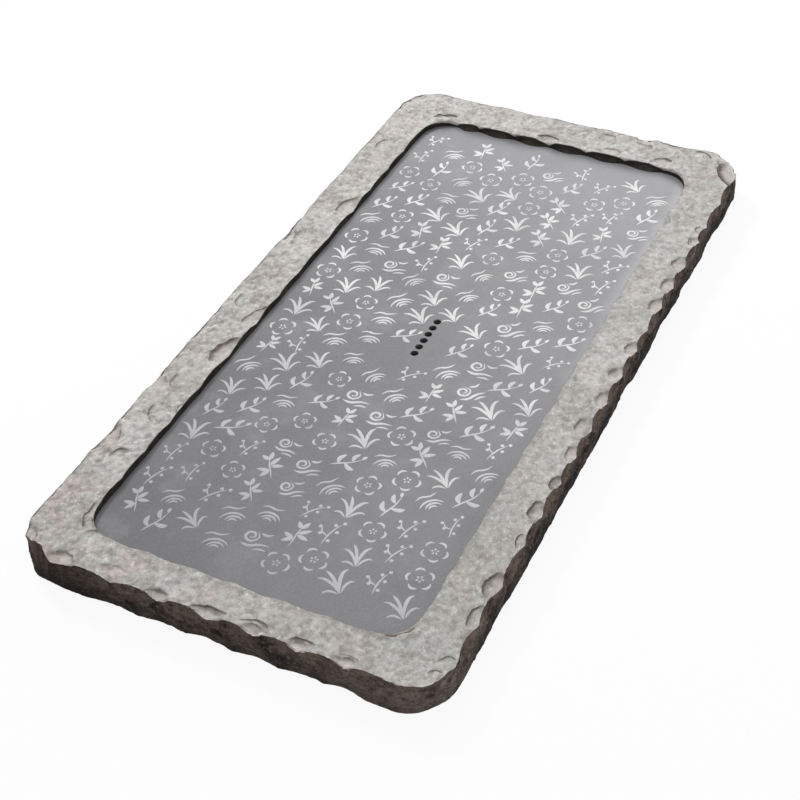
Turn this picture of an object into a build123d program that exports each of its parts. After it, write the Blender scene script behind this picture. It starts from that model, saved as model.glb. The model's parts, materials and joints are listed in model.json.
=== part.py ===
from build123d import *
from math import atan2, cos, degrees, pi, sin, sqrt
import os

os.makedirs("parts", exist_ok=True)

# Gongfu tea tray carved from one slab of stone, with a drain under its basin. All sizes are in mm.
# X runs along the tray from its near short side to its far one, and Y from its front to its back.
# The origin lies on the table, under the middle of the slab.

# Slab
slab_length = 800
slab_width = 400
slab_thickness = 32
corner_radius = 40

# Basin: the rims are measured from the slab's outline to the ridges on the basin's wall
near_rim = 43
far_rim = 49
front_rim = 46
back_rim = 46
basin_depth = 7.6
basin_corner_radius = 30
near_scallop_depth = 1.8
far_scallop_depth = 3.6
front_scallop_depth = 1.7
back_scallop_depth = 1.8

# Flakes struck off the sides, in a row along the top edge and, on the near side, one along the bottom
flake_height_share = 0.42
low_flake_height_share = 0.35
near_flake_depth = 4.4
far_flake_depth = 2.6
front_flake_depth = 4
back_flake_depth = 1.3
corner_flake_depth = 1.6
near_low_flake_depth = 2.6

# Shell-shaped bowls where flakes came off the top face
bowl_width = 27
bowl_reach = 14
bowl_depth = 2.6
rim_chip_width = 30
rim_chip_reach = 15
rim_chip_depth = 2.4

# Drain holes
hole_count = 6
hole_diameter = 7.8
hole_pitch = 10.3
hole_row_x = -5
hole_row_y = -5

# Sump under the drain holes, closed from below by a plate on a gasket
sump_length = 104
sump_width = 44
sump_corner_radius = 8
sump_roof = 9
lap_width = 11
gasket_thickness = 1
gasket_width = 3.5
cover_thickness = 1.5
cover_edge_gap = 0.5

# Screws of the cover, in inserts bonded into the stone
screw_diameter = 3
screw_length = 8
screw_head_diameter = 6
screw_head_height = 2
screw_hole_gap = 0.2
screw_spread_share = 0.75
head_recess = 0.3
insert_across_flats = 5
insert_length = 6
insert_spare_depth = 1
bond_gap = 0.1

# Outlet from the sump to a hose in a channel that ends at the back side
spigot_wall = 16
shank_diameter = 8
shank_lift = 0.5
collar_across_flats = 10
collar_thickness = 3
tail_diameter = 8
tail_length = 20
tail_chamfer = 0.8
spigot_bore = 6
hose_diameter = 12
hose_gap = 1

# Feet: square pads stuck under the slab, the middle pair beside the hose channel
foot_width = 36
foot_height = 3
foot_bevel = 1
foot_inset_x = 62
foot_inset_y = 52
middle_foot_x = 36

# How far a cutting solid runs past the face that it cuts
overrun = 2

# Ridges between the flakes along each side, as shares of that side from the near or front corner
front_ridge_shares = (
    0.055, 0.101, 0.159, 0.219, 0.266, 0.319, 0.364, 0.411, 0.461, 0.510,
    0.561, 0.600, 0.650, 0.693, 0.740, 0.794, 0.827, 0.884, 0.945,
)
back_ridge_shares = (0.055, 0.155, 0.272, 0.368, 0.483, 0.590, 0.712, 0.818, 0.945)
near_ridge_shares = (0.108, 0.197, 0.301, 0.399, 0.508, 0.625, 0.737, 0.885)
far_ridge_shares = (0.110, 0.258, 0.395, 0.552, 0.708, 0.890)
corner_ridge_shares = (0.0, 0.46, 1.0)

# Bowls on the top face: place along the side, then width and reach as shares of a full bowl
front_bowl_shares = (
    (0.157, 1.00, 0.95), (0.267, 0.85, 1.00), (0.319, 0.80, 0.60), (0.366, 1.00, 0.85),
    (0.412, 1.05, 1.20), (0.463, 1.00, 0.95), (0.510, 0.97, 1.00), (0.561, 0.90, 0.88),
    (0.650, 1.05, 1.00), (0.693, 1.05, 0.97), (0.740, 1.10, 1.07), (0.794, 0.65, 0.75),
)
back_bowl_shares = ((0.185, 1.55, 1.10), (0.289, 1.00, 0.90), (0.604, 1.20, 0.90))
near_bowl_shares = (
    (0.199, 0.60, 0.90), (0.305, 0.70, 0.90), (0.410, 0.80, 0.92), (0.510, 1.08, 0.97),
    (0.627, 0.80, 0.90), (0.872, 1.30, 1.15),
)
far_bowl_shares = ((0.283, 0.80, 1.00),)

# Bowls at the corners: turn round the corner, then width and reach as above
far_front_bowl_shares = ((0.48, 1.90, 1.25),)
near_back_bowl_shares = ((0.40, 1.20, 0.80),)

# Ridges along each wall of the basin, as shares of its straight stretch
front_wall_shares = (
    0.0, 0.070, 0.128, 0.195, 0.262, 0.318, 0.395, 0.455, 0.520, 0.595, 0.660, 0.735, 0.800, 0.872,
    0.930, 1.0,
)
back_wall_shares = (
    0.0, 0.052, 0.110, 0.175, 0.255, 0.338, 0.419, 0.488, 0.552, 0.651, 0.737, 0.800, 0.866, 0.926, 1.0,
)
near_wall_shares = (0.0, 0.160, 0.310, 0.500, 0.655, 0.840, 1.0)
far_wall_shares = (0.0, 0.185, 0.370, 0.545, 0.715, 0.885, 1.0)

# Chips on the basin's rim: place along the slab's side, then width and reach as shares of a full chip
front_chip_shares = ((0.429, 0.85, 0.80),)
back_chip_shares = ((0.369, 1.80, 1.50), (0.438, 1.10, 1.05), (0.695, 1.15, 1.35))
near_chip_shares = ((0.430, 0.75, 0.55),)
far_chip_shares = ((0.210, 0.75, 1.15), (0.541, 0.85, 1.00), (0.800, 0.95, 0.75))

# Levels
underside = foot_height
top = underside + slab_thickness
deck = top - basin_depth
sump_top = deck - sump_roof
rebate_top = underside + gasket_thickness + cover_thickness + screw_head_height + head_recess
spigot_axis_z = rebate_top + shank_lift + shank_diameter / 2
channel_top = spigot_axis_z + (hose_diameter + hose_gap) / 2
cover_bottom = rebate_top - gasket_thickness - cover_thickness

# Places along Y of the sump, the outlet and the channel
sump_back = hole_row_y + sump_width / 2
channel_front = sump_back + spigot_wall


# Where each side starts, and the directions along it and into the slab
side_start = {
    "front": (-slab_length / 2, -slab_width / 2),
    "back": (-slab_length / 2, slab_width / 2),
    "near": (-slab_length / 2, -slab_width / 2),
    "far": (slab_length / 2, -slab_width / 2),
}
side_inward = {"front": (0, 1), "back": (0, -1), "near": (1, 0), "far": (-1, 0)}
side_length = {"front": slab_length, "back": slab_length, "near": slab_width, "far": slab_width}

# The rim beside each side, and the two sides that it runs between
rims = {"front": front_rim, "back": back_rim, "near": near_rim, "far": far_rim}
side_ends = {
    "front": ("near", "far"),
    "back": ("near", "far"),
    "near": ("front", "back"),
    "far": ("front", "back"),
}


def side_point(side, along, inward):
    """A point in plan, given its distance along a side and its distance into the slab."""
    start_x, start_y = side_start[side]
    into_x, into_y = side_inward[side]
    return start_x + abs(into_y) * along + into_x * inward, start_y + abs(into_x) * along + into_y * inward


def corner_point(corner, turn_share):
    """A point on a rounded corner of the slab and the unit direction from it into the slab."""
    sign_x, sign_y = corner
    angle = turn_share * pi / 2
    out_x, out_y = sign_x * sin(angle), sign_y * cos(angle)
    centre_x = sign_x * (slab_length / 2 - corner_radius)
    centre_y = sign_y * (slab_width / 2 - corner_radius)
    return (centre_x + out_x * corner_radius, centre_y + out_y * corner_radius), (-out_x, -out_y)


def side_flake(point, inward, width, depth, height, at_top):
    """The sphere that takes a flake of this width, depth and height off the wall at its top or bottom edge.

    Its seam is turned away from the slab, so that the flake doesn't cross it.
    """
    edge_radius = (width**2 / 4 + depth**2) / (2 * depth)
    lift = (width**2 / 4 - height**2) / (2 * height)
    out = edge_radius - depth
    z = top + lift if at_top else underside - lift
    radius = sqrt(edge_radius**2 + lift**2)
    seam = Rot(0, 0, degrees(atan2(-inward[1], -inward[0])))
    return Pos(point[0] - inward[0] * out, point[1] - inward[1] * out, z) * seam * Sphere(radius)


def top_bowl(point, inward, width, reach, depth):
    """The sphere that leaves a bowl in the top face, reaching this far in from a point on an edge.

    It is laid on its side, so that neither of its poles is in the bowl.
    """
    radius = (width**2 / 4 + depth**2) / (2 * depth)
    shift = reach - width / 2
    place = Pos(point[0] + inward[0] * shift, point[1] + inward[1] * shift, top + radius - depth)
    return place * Rot(90, 0, 0) * Sphere(radius)


def full_bowl(point, inward, width_share, reach_share):
    """A bowl at the slab's edge: a narrow one is as much shallower as it is narrower."""
    depth = bowl_depth * min(width_share, 1)
    return top_bowl(point, inward, width_share * bowl_width, reach_share * bowl_reach, depth)


def full_chip(point, inward, width_share, reach_share):
    """A chip at the basin's rim, made like a bowl."""
    depth = rim_chip_depth * min(width_share, 1)
    return top_bowl(point, inward, width_share * rim_chip_width, reach_share * rim_chip_reach, depth)


def row_flakes(points, inwards, widths, depth, share, at_top):
    """One row of flakes along a side or round a corner."""
    return [
        side_flake(point, inward, width, depth, share * width, at_top)
        for point, inward, width in zip(points, inwards, widths)
    ]


def side_flakes(side, ridge_shares, depth, at_top=True):
    """One row of flakes along a side, with a ridge at each share."""
    length = side_length[side]
    gaps = list(zip(ridge_shares, ridge_shares[1:]))
    points = [side_point(side, (a + b) / 2 * length, 0) for a, b in gaps]
    widths = [(b - a) * length for a, b in gaps]
    share = flake_height_share if at_top else low_flake_height_share
    return row_flakes(points, [side_inward[side]] * len(gaps), widths, depth, share, at_top)


def between(shares):
    """The shares halfway between neighbours, where the bottom row has its ridges."""
    return [(a + b) / 2 for a, b in zip(shares, shares[1:])]


def corner_flakes():
    """The top row round the four corners."""
    quarter = corner_radius * pi / 2
    gaps = list(zip(corner_ridge_shares, corner_ridge_shares[1:]))
    flakes = []
    for corner in ((-1, -1), (1, -1), (1, 1), (-1, 1)):
        places = [corner_point(corner, (a + b) / 2) for a, b in gaps]
        widths = [(b - a) * quarter for a, b in gaps]
        points = [place[0] for place in places]
        inwards = [place[1] for place in places]
        flakes += row_flakes(points, inwards, widths, corner_flake_depth, flake_height_share, True)
    return flakes


def outer_bowls():
    """Bowls in the top face along the four sides and at the two corners that have one."""
    bowls = []
    for side, table in (
        ("front", front_bowl_shares),
        ("back", back_bowl_shares),
        ("near", near_bowl_shares),
        ("far", far_bowl_shares),
    ):
        for place, width, reach in table:
            point = side_point(side, place * side_length[side], 0)
            bowls.append(full_bowl(point, side_inward[side], width, reach))
    for corner, table in (((1, -1), far_front_bowl_shares), ((-1, 1), near_back_bowl_shares)):
        for place, width, reach in table:
            point, inward = corner_point(corner, place)
            bowls.append(full_bowl(point, inward, width, reach))
    return bowls


def rim_chips():
    """Chips in the top face along the basin's rim, reaching out from it towards the slab's sides."""
    chips = []
    for side, table in (
        ("front", front_chip_shares),
        ("back", back_chip_shares),
        ("near", near_chip_shares),
        ("far", far_chip_shares),
    ):
        into_x, into_y = side_inward[side]
        for place, width, reach in table:
            point = side_point(side, place * side_length[side], rims[side])
            chips.append(full_chip(point, (-into_x, -into_y), width, reach))
    return chips


def basin_wall(side, wall_shares, scallop_depth, backwards):
    """The scallops of one wall of the basin in plan, as arcs from ridge to ridge."""
    low_side, high_side = side_ends[side]
    start = rims[low_side] + basin_corner_radius
    end = side_length[side] - rims[high_side] - basin_corner_radius
    ridges = [start + share * (end - start) for share in wall_shares]
    arcs = []
    for a, b in zip(ridges, ridges[1:]):
        first = side_point(side, a, rims[side])
        middle = side_point(side, (a + b) / 2, rims[side] - scallop_depth)
        last = side_point(side, b, rims[side])
        arcs.append(ThreePointArc(last, middle, first) if backwards else ThreePointArc(first, middle, last))
    return arcs[::-1] if backwards else arcs


def basin_corner(corner, first, last):
    """The rounded corner of the basin between the ends of two walls."""
    sign_x, sign_y = corner
    rim_x = far_rim if sign_x > 0 else near_rim
    rim_y = back_rim if sign_y > 0 else front_rim
    centre_x = sign_x * (slab_length / 2 - rim_x - basin_corner_radius)
    centre_y = sign_y * (slab_width / 2 - rim_y - basin_corner_radius)
    step = basin_corner_radius / sqrt(2)
    return ThreePointArc(first, (centre_x + sign_x * step, centre_y + sign_y * step), last)


def basin():
    """The space of the basin: a prism on a closed ring of wall scallops and round corners."""
    front = basin_wall("front", front_wall_shares, front_scallop_depth, False)
    far = basin_wall("far", far_wall_shares, far_scallop_depth, False)
    back = basin_wall("back", back_wall_shares, back_scallop_depth, True)
    near = basin_wall("near", near_wall_shares, near_scallop_depth, True)
    ring = (
        front
        + [basin_corner((1, -1), front[-1] @ 1, far[0] @ 0)]
        + far
        + [basin_corner((1, 1), far[-1] @ 1, back[0] @ 0)]
        + back
        + [basin_corner((-1, 1), back[-1] @ 1, near[0] @ 0)]
        + near
        + [basin_corner((-1, -1), near[-1] @ 1, front[0] @ 0)]
    )
    return Pos(0, 0, deck) * extrude(make_face(ring), basin_depth + overrun)


def block(length, width, radius, low, high, x=0, y=0):
    """A block with rounded upright edges between two levels."""
    return Pos(x, y, low) * extrude(RectangleRounded(length, width, radius), high - low)


def rod(x, y, low, high, diameter):
    """An upright round rod between two levels."""
    return Pos(x, y, low) * extrude(Circle(diameter / 2), high - low)


def hole_places():
    """Places of the drain holes, in one line along the tray."""
    first = hole_row_x - (hole_count - 1) / 2 * hole_pitch
    return [(first + i * hole_pitch, hole_row_y) for i in range(hole_count)]


def drain_holes():
    """The drain holes, from the sump to above the basin floor."""
    return [rod(x, y, sump_top - overrun, deck + overrun, hole_diameter) for x, y in hole_places()]


def sump_ring(grow, low, high):
    """A block over the sump that is this much wider than it on every side."""
    length, width, radius = sump_length + 2 * grow, sump_width + 2 * grow, sump_corner_radius + grow
    return block(length, width, radius, low, high, hole_row_x, hole_row_y)


def sump_and_rebate():
    """The sump under the holes and the rebate that lets the cover in flush."""
    return [
        sump_ring(0, underside - overrun, sump_top),
        sump_ring(lap_width, underside - overrun, rebate_top),
    ]


def along_back(start, length, outline):
    """An outline drawn out along the outlet's axis, towards the back side."""
    return Pos(hole_row_x, start, spigot_axis_z) * Rot(-90, 0, 0) * extrude(outline, length)


def outlet_cuts():
    """The bore through the wall behind the sump and the channel for the hose, open below and at the back."""
    bore = along_back(sump_back - overrun, spigot_wall + 2 * overrun, Circle(shank_diameter / 2 + bond_gap))
    channel_length = slab_width / 2 + overrun - channel_front
    channel_low = underside - overrun
    channel = Pos(hole_row_x, channel_front + channel_length / 2, (channel_low + channel_top) / 2) * Box(
        hose_diameter + hose_gap, channel_length, channel_top - channel_low
    )
    return [bore, channel]


def screw_places():
    """Places of the cover's four screws, in the middle of the long laps."""
    along = screw_spread_share * sump_length / 2
    across = sump_width / 2 + lap_width / 2
    return [(hole_row_x + x, hole_row_y + y) for x in (-along, along) for y in (-across, across)]


def insert_bores():
    """Blind bores for the inserts, upwards from the rebate."""
    depth = insert_length + insert_spare_depth
    diameter = insert_across_flats / cos(pi / 6) + 2 * bond_gap
    return [rod(x, y, rebate_top - overrun, rebate_top + depth, diameter) for x, y in screw_places()]


def foot_places():
    """Places of the six feet, by name."""
    reach_x = slab_length / 2 - foot_inset_x
    reach_y = slab_width / 2 - foot_inset_y
    return {
        f"foot_{x_name}_{y_name}": (x, y)
        for x_name, x in (("near", -reach_x), ("middle", middle_foot_x), ("far", reach_x))
        for y_name, y in (("front", -reach_y), ("back", reach_y))
    }


def stone_slab():
    """The slab with its flaked sides, chipped rims, scalloped basin, drain and hose channel."""
    body = block(slab_length, slab_width, corner_radius, underside, top)
    flakes = (
        side_flakes("front", front_ridge_shares, front_flake_depth)
        + side_flakes("back", back_ridge_shares, back_flake_depth)
        + side_flakes("near", near_ridge_shares, near_flake_depth)
        + side_flakes("far", far_ridge_shares, far_flake_depth)
        + side_flakes("near", between(near_ridge_shares), near_low_flake_depth, at_top=False)
        + corner_flakes()
    )
    body = body - flakes
    body = body - (outer_bowls() + rim_chips())
    body = body - basin()
    body = body - (drain_holes() + sump_and_rebate())
    return body - (outlet_cuts() + insert_bores())


def sump_cover():
    """The plate that fills the rebate in plan, with its screw holes."""
    plate = sump_ring(lap_width - cover_edge_gap, cover_bottom, cover_bottom + cover_thickness)
    diameter = screw_diameter + 2 * screw_hole_gap
    return plate - [
        rod(x, y, cover_bottom - overrun, cover_bottom + cover_thickness + overrun, diameter)
        for x, y in screw_places()
    ]


def cover_gasket():
    """The gasket between the plate and the stone, a ring inside the line of the screws."""
    ring = sump_ring(gasket_width, rebate_top - gasket_thickness, rebate_top)
    return ring - sump_ring(0, rebate_top - gasket_thickness - overrun, rebate_top + overrun)


def screw(x, y):
    """A pan head screw, upright with its head below the cover."""
    head = rod(x, y, cover_bottom - screw_head_height, cover_bottom, screw_head_diameter)
    return head + rod(x, y, cover_bottom, cover_bottom + screw_length, screw_diameter)


def insert(x, y):
    """A threaded insert as a plain hexagonal sleeve, flush with the rebate."""
    outline = RegularPolygon(insert_across_flats / 2, 6, major_radius=False)
    sleeve = Pos(x, y, rebate_top) * extrude(outline, insert_length)
    return sleeve - rod(x, y, rebate_top - overrun, rebate_top + insert_length + overrun, screw_diameter)


def hose_spigot():
    """The outlet: a shank through the wall behind the sump, a hexagonal collar and a tail for the hose."""
    shank = along_back(sump_back, spigot_wall, Circle(shank_diameter / 2))
    hexagon = RegularPolygon(collar_across_flats / 2, 6, major_radius=False)
    collar = along_back(channel_front, collar_thickness, hexagon)
    tail = along_back(channel_front + collar_thickness, tail_length, Circle(tail_diameter / 2))
    tail = chamfer(tail.edges().group_by(Axis.Y)[-1], tail_chamfer)
    whole = spigot_wall + collar_thickness + tail_length
    bore = along_back(sump_back - overrun, whole + 2 * overrun, Circle(spigot_bore / 2))
    return shank + collar + tail - bore


def foot(x, y):
    """A square rubber pad with bevelled lower edges."""
    pad = Pos(x, y, foot_height / 2) * Box(foot_width, foot_width, foot_height)
    return chamfer(pad.edges().group_by(Axis.Z)[0], foot_bevel)


pieces = {
    "stone_slab": stone_slab(),
    "sump_cover": sump_cover(),
    "cover_gasket": cover_gasket(),
    "cover_screws": Compound(children=[screw(x, y) for x, y in screw_places()]),
    "cover_inserts": Compound(children=[insert(x, y) for x, y in screw_places()]),
    "hose_spigot": hose_spigot(),
}
for name, (x, y) in foot_places().items():
    pieces[name] = foot(x, y)

for name, piece in pieces.items():
    export_step(piece, f"parts/{name}.step")
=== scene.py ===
# %% [markdown]
# # A stone tea tray
#
# The tray is one slab of stone. Its solids come packed, at their real size, as a fixed frame. This
# notebook dresses them: the slab gets the broken, pitted and honed surfaces that a mason's tools leave,
# the basin's floor gets an engraved ground, and the small drain parts underneath get their metals and
# rubbers.
#
# Every length is in metres, in the frame's own axes: X runs along the tray, Y to its back, Z up.

# %% Load the frame
import json
import math
import bmesh
import bpy
import numpy as np
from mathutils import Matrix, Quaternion, Vector
from mathutils.bvhtree import BVHTree
from mathutils.noise import noise as noise_value
from mathutils.noise import noise_vector, seed_set

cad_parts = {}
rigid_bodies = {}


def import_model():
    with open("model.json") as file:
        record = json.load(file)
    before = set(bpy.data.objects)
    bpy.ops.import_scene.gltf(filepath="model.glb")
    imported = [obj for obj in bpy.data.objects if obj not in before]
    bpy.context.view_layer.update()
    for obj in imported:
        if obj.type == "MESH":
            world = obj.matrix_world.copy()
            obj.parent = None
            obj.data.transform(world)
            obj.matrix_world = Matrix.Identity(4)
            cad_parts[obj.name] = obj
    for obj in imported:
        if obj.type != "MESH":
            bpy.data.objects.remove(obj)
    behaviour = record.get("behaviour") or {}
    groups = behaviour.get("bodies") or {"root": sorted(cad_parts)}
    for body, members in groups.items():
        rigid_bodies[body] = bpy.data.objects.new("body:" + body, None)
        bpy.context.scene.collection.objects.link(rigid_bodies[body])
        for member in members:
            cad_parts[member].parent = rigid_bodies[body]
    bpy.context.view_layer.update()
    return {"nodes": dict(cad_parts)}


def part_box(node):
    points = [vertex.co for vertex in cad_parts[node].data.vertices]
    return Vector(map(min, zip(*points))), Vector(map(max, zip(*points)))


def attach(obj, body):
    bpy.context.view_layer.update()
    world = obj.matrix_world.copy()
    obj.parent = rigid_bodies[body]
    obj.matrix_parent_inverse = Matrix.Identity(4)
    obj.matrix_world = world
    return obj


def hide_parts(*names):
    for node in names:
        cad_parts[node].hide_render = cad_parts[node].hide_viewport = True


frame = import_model()
slab_low, slab_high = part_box("stone_slab")
mm = 0.001
print("solids:", ", ".join(sorted(frame["nodes"])))
print("slab in mm:", [round(side / mm, 1) for side in slab_high - slab_low])

# %% [markdown]
# ## Node trees written as Python
#
# Materials and Geometry Nodes are both node trees. `Net.node` adds any node: its settings are set first,
# then its sockets get values or links. `Wire` wraps one output, and Python's operators on it add Math
# nodes, so that a formula in the script reads like a formula.

# %% A small language for node trees
class Wire:
    """One output socket of a node. Operators on it add Math nodes to the tree."""

    def __init__(self, net, socket):
        self.net = net
        self.socket = socket

    def out(self, name):
        return Wire(self.net, self.socket.node.outputs[name])

    def math(self, operation, *values):
        return self.net.node("ShaderNodeMath", {"operation": operation}, self, *values)

    def __add__(self, other):
        return self.math("ADD", other)

    def __sub__(self, other):
        return self.math("SUBTRACT", other)

    def __mul__(self, other):
        return self.math("MULTIPLY", other)

    def __truediv__(self, other):
        return self.math("DIVIDE", other)

    def __rsub__(self, other):
        return self.net.node("ShaderNodeMath", {"operation": "SUBTRACT"}, other, self)

    def __rtruediv__(self, other):
        return self.net.node("ShaderNodeMath", {"operation": "DIVIDE"}, other, self)

    def __lt__(self, other):
        return self.math("LESS_THAN", other)

    __radd__ = __add__
    __rmul__ = __mul__

    def rise(self, low, high):
        """0 below low and 1 above high, with a smooth step between them; low may be the larger."""
        settings = {"interpolation_type": "SMOOTHSTEP"}
        return self.net.node("ShaderNodeMapRange", settings, self, low, high, 0.0, 1.0)


class Net:
    """A node tree that is filled from Python."""

    def __init__(self, tree):
        self.tree = tree

    def node(self, kind, settings, *values, **named):
        made = self.tree.nodes.new(kind)
        for name, value in settings.items():
            setattr(made, name, value)
        sockets = [socket for socket in made.inputs if socket.enabled]
        for socket, value in zip(sockets, values):
            self.feed(socket, value)
        for name, value in named.items():
            plain = name.replace("_", " ").lower()
            self.feed(next(socket for socket in sockets if socket.name.lower() == plain), value)
        outputs = [socket for socket in made.outputs if socket.enabled]
        return Wire(self, outputs[0]) if outputs else made

    def feed(self, socket, value):
        if isinstance(value, Wire):
            self.tree.links.new(value.socket, socket)
        elif isinstance(value, tuple) and socket.type == "RGBA":
            socket.default_value = (*value, 1.0)
        elif value is not None:
            socket.default_value = value


def material(name, build):
    """A material whose shader is made by build(net)."""
    made = bpy.data.materials.new(name)
    made.use_nodes = True
    made.node_tree.nodes.clear()
    net = Net(made.node_tree)
    net.node("ShaderNodeOutputMaterial", {}, build(net))
    return made


def linked(name, data):
    """A new object in the scene that shows a mesh, or holds a lamp or a camera."""
    made = bpy.data.objects.new(name, data)
    bpy.context.scene.collection.objects.link(made)
    return made


def plain_mesh(name, points, faces):
    """A mesh from places and from tuples of their numbers."""
    mesh = bpy.data.meshes.new(name)
    mesh.from_pydata(points, [], faces)
    return mesh


def quad_ring(first, second, size):
    """Faces between two rings of points, given the number of each ring's first point."""
    return [(first + i, first + (i + 1) % size, second + (i + 1) % size, second + i) for i in range(size)]


def tube(rings, size):
    """Faces of a tube through rings of points, with one more point before and after to close it."""
    faces = [(0, 1 + (i + 1) % size, 1 + i) for i in range(size)]
    for ring_number in range(rings - 1):
        first = 1 + ring_number * size
        faces += quad_ring(first, first + size, size)
    last = 1 + rings * size
    return faces + [(last - size + i, last - size + (i + 1) % size, last) for i in range(size)]


print("node helpers ready")

# %% [markdown]
# ## The stage
#
# A product photograph on white has a pale floor that runs out of the picture. The floor here is a plain
# plane. Its shader shows the camera, and anything that mirrors it, mostly white light of strength 1, and
# keeps a share of plain diffuse shading, so that the tray's soft shadow still falls on it.

# %% Floor and world
def white_rays(net):
    """1 for what the camera sees, also in a mirror or through glass, and 0 for all other light."""
    path = net.node("ShaderNodeLightPath", {})
    seen = path.out("Is Camera Ray").math("MAXIMUM", path.out("Is Glossy Ray"))
    return seen.math("MAXIMUM", path.out("Is Transmission Ray"))


def white_floor(net):
    """A pale floor whose light comes from its own colour, with the object's shadow left in it."""
    paper = net.node("ShaderNodeBsdfDiffuse", {}, (0.80, 0.80, 0.80))
    glow = net.node("ShaderNodeEmission", {}, (1.0, 1.0, 1.0), 1.0)
    return net.node("ShaderNodeMixShader", {}, white_rays(net) * floor_glow_share, paper, glow)


floor_half = 4.0
floor_glow_share = 0.93
corners = [(x * floor_half, y * floor_half, 0) for x, y in ((-1, -1), (1, -1), (1, 1), (-1, 1))]
floor_mesh = plain_mesh("floor", corners, [(0, 1, 2, 3)])
floor_mesh.materials.append(material("studio_floor", white_floor))
floor = linked("floor", floor_mesh)

world = bpy.data.worlds.new("studio")
bpy.context.scene.world = world
world.use_nodes = True
world.node_tree.nodes.clear()
net = Net(world.node_tree)
dim_world = net.node("ShaderNodeBackground", {}, (1.0, 1.0, 1.0), 0.24)
white_world = net.node("ShaderNodeBackground", {}, (1.0, 1.0, 1.0), 1.0)
mixed = net.node("ShaderNodeMixShader", {}, white_rays(net), dim_world, white_world)
net.node("ShaderNodeOutputWorld", {}, mixed)
bpy.context.scene.view_settings.view_transform = "Standard"
print("floor is", 2 * floor_half, "m wide")

# %% [markdown]
# ## Light and camera
#
# The walls of the basin that face the viewer lie in deep shade, and the honed floor shines towards its
# far end. So the key lamp stands behind the tray and beyond its far end, where it also picks out the
# bowls along the edges. A wide lamp lower down beyond the far end gives the floor its sheen, a weak one
# overhead evens the top, and a very weak one in front keeps the dark sides from closing up.

# %% Lamps and camera
def soft_lamp(name, place, aim, size, power):
    """A square area lamp that faces a point."""
    data = bpy.data.lights.new(name, "AREA")
    data.size = size
    data.energy = power
    lamp = linked(name, data)
    lamp.location = place
    lamp.rotation_mode = "QUATERNION"
    lamp.rotation_quaternion = (Vector(aim) - Vector(place)).to_track_quat("-Z", "Y")
    return lamp


key_lamp = soft_lamp("key_lamp", (1.25, 1.95, 2.2), (0.0, 0.0, 0.0), 0.5, 69.0)
top_lamp = soft_lamp("top_lamp", (0.1, 0.4, 1.9), (0.0, 0.0, 0.0), 1.6, 8.0)
fill_lamp = soft_lamp("fill_lamp", (-0.6, -2.3, 0.9), (0.0, 0.0, 0.0), 0.8, 12.0)
for lamp in (key_lamp, top_lamp, fill_lamp):
    lamp.visible_glossy = False
soft_lamp("sheen_lamp", (3.00, 0.48, 1.60), (0.3, -0.1, 0.0), 1.5, 66.0)

camera_place = Vector((-1.0450, -0.5291, 0.9859))
camera_aim = Vector((-0.0892, -0.0178, 0.0200))
camera_roll = math.radians(-3.196)
camera_data = bpy.data.cameras.new("camera")
camera_data.sensor_width = 36.0
camera_data.lens = 70.25
camera = linked("camera", camera_data)
camera.location = camera_place
camera.rotation_mode = "QUATERNION"
look = (camera_aim - camera_place).to_track_quat("-Z", "Y")
camera.rotation_quaternion = look @ Quaternion((0, 0, 1), camera_roll)
bpy.context.scene.camera = camera
print("camera stands", round((camera_place - camera_aim).length, 2), "m from the tray")

# %% [markdown]
# ## Trees that grow meshes
#
# Geometry Nodes do the repeated and the rule-bound work: the rough dressing, the rows of holes and
# screws, and the scattered ornament. `geometry_tree` starts a tree with named sizes. `grown` runs it on a
# mesh with values for those sizes and keeps the result as a plain mesh, because a live modifier would not
# reach the export.

# %% Helpers for geometry trees and plain meshes
def geometry_tree(name, sizes):
    """A tree that takes a mesh and named sizes. Returns the tree's net and its input node."""
    tree = bpy.data.node_groups.new(name, "GeometryNodeTree")
    tree.is_modifier = True
    tree.interface.new_socket("Geometry", in_out="INPUT", socket_type="NodeSocketGeometry")
    tree.interface.new_socket("Geometry", in_out="OUTPUT", socket_type="NodeSocketGeometry")
    for label, value in sizes.items():
        kind = "NodeSocketInt" if isinstance(value, int) else "NodeSocketFloat"
        socket = tree.interface.new_socket(label, in_out="INPUT", socket_type=kind)
        socket.default_value = value
    net = Net(tree)
    return net, net.node("NodeGroupInput", {})


def settled(carrier):
    """Turns an object's modifiers into a plain mesh of its own."""
    graph = bpy.context.evaluated_depsgraph_get()
    plain = bpy.data.meshes.new_from_object(
        carrier.evaluated_get(graph), preserve_all_data_layers=True, depsgraph=graph)
    carrier.modifiers.clear()
    carrier.data = plain
    return carrier


def set_out(net, instances, finish):
    """Ends a tree: its instances become real geometry in one finish."""
    whole = net.node("GeometryNodeRealizeInstances", {}, instances)
    net.node("NodeGroupOutput", {}, net.node("GeometryNodeSetMaterial", {}, whole, True, finish))


def grown(name, mesh, tree, sizes):
    """Runs a geometry tree on a mesh with these sizes and keeps the plain result."""
    carrier = linked(name, mesh)
    modifier = carrier.modifiers.new("tree", "NODES")
    modifier.node_group = tree
    for item in tree.interface.items_tree:
        if item.in_out == "INPUT" and item.name in sizes:
            modifier[item.identifier] = sizes[item.name]
    return settled(carrier)


def cut_away(carrier, cutter, operation="DIFFERENCE"):
    """Takes one solid from another, or joins them, and deletes the second."""
    modifier = carrier.modifiers.new("cut", "BOOLEAN")
    modifier.operation = operation
    modifier.solver = "MANIFOLD"
    modifier.object = cutter
    settled(carrier)
    bpy.data.objects.remove(cutter)
    return carrier


def open_edges(mesh):
    """How many edges don't have exactly two faces: none on a closed skin."""
    checker = bmesh.new()
    checker.from_mesh(mesh)
    count = sum(1 for edge in checker.edges if not edge.is_manifold)
    checker.free()
    return count


def triangles(mesh):
    return sum(len(face.vertices) - 2 for face in mesh.polygons)


print("tree helpers ready")

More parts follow.
